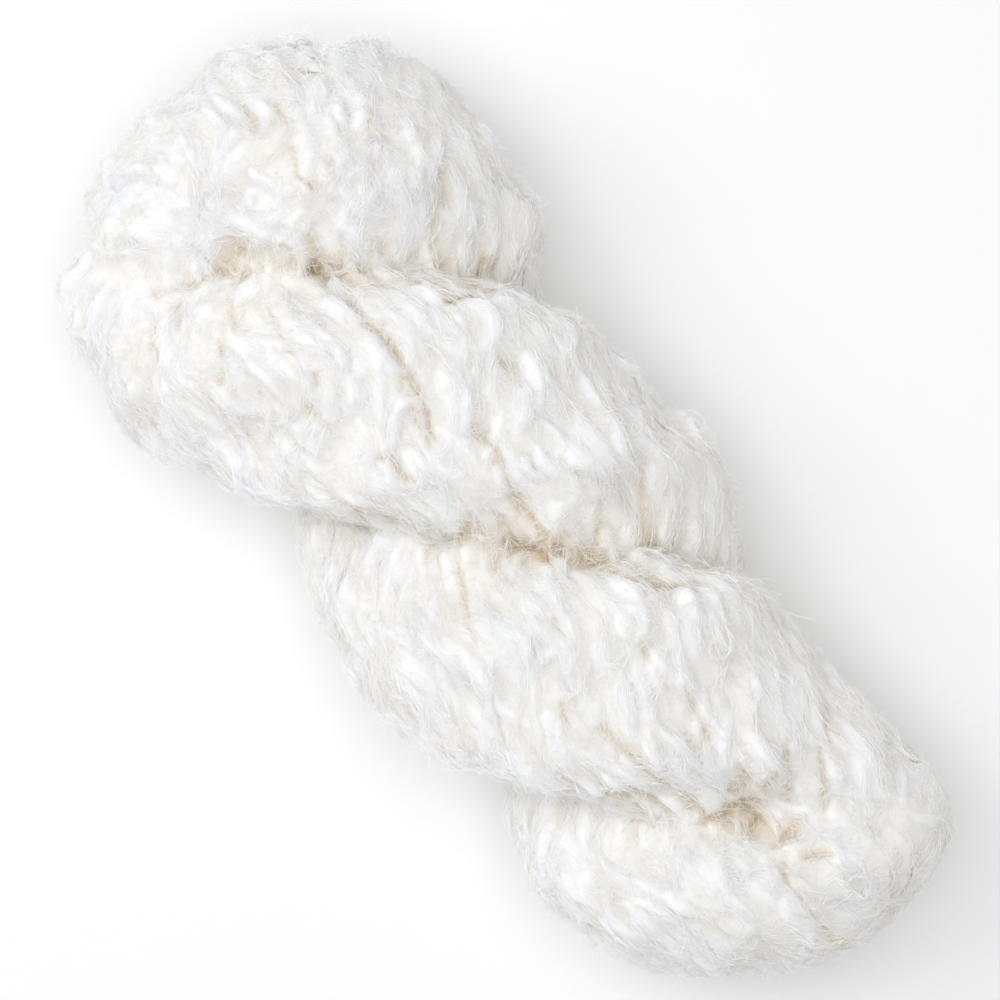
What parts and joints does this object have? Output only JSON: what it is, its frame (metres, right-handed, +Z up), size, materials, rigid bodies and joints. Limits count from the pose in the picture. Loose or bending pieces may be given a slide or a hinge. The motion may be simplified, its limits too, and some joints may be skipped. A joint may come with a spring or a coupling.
{
  "type": "twisted hank of fluffy boucle merino yarn",
  "caption": "Fluffy white boucle wool yarn wound into a ring and twisted into a thick two-ply hank that lies on its side.",
  "frame": {"origin": "on the surface the hank rests on, below the middle of its bounding box", "axes": "+X along the hank from its wide fanned end to its narrower end, +Z up"},
  "size_m": [0.277, 0.1242, 0.0818],
  "materials": {
    "wool_yarn": "natural white brushed boucle wool, matt and fluffy"
  },
  "bodies": {
    "root": {"hank": "wool_yarn"}
  },
  "joints": []
}
